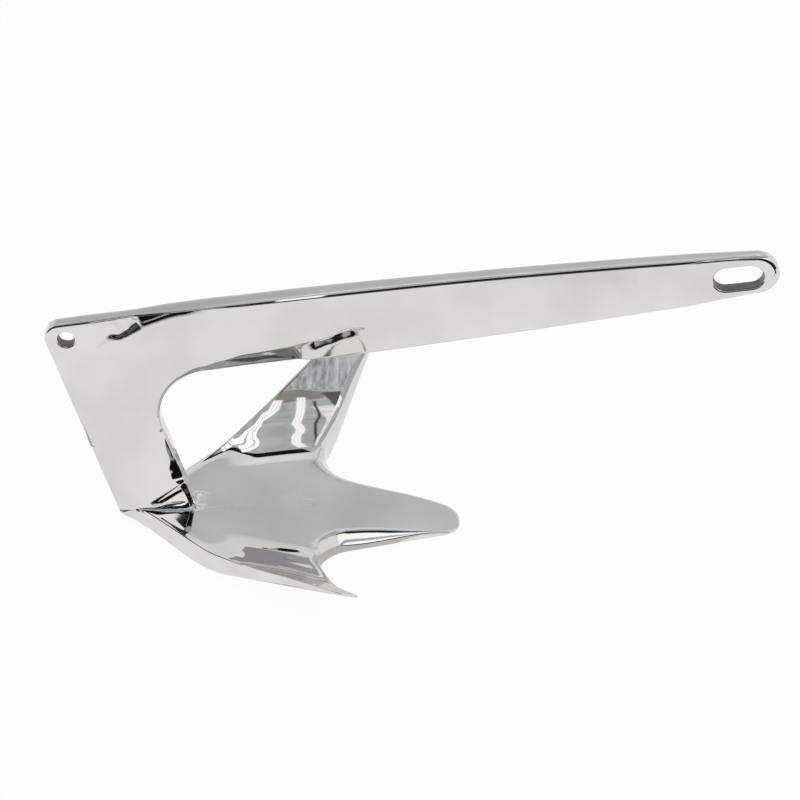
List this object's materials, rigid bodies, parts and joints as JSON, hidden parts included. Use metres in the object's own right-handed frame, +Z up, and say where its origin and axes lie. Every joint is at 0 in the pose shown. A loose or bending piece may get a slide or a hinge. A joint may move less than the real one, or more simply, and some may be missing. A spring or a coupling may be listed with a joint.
{
  "type": "claw anchor",
  "caption": "One-piece cast claw anchor: a flat curved shank with a shackle slot and a trip hole, on a palm with a centre claw and a swept, raised claw on each side.",
  "frame": {"origin": "middle of the part's length and width, on the floor plane that its flat underside rests on", "axes": "+X from the elbow towards the shackle eye and the nose of the centre claw, +Y across the claws, +Z up"},
  "size_m": [0.5578, 0.3644, 0.2552],
  "materials": {
    "cast_steel": "mirror polished stainless steel"
  },
  "bodies": {
    "root": {"claw_anchor": "cast_steel"}
  },
  "joints": []
}
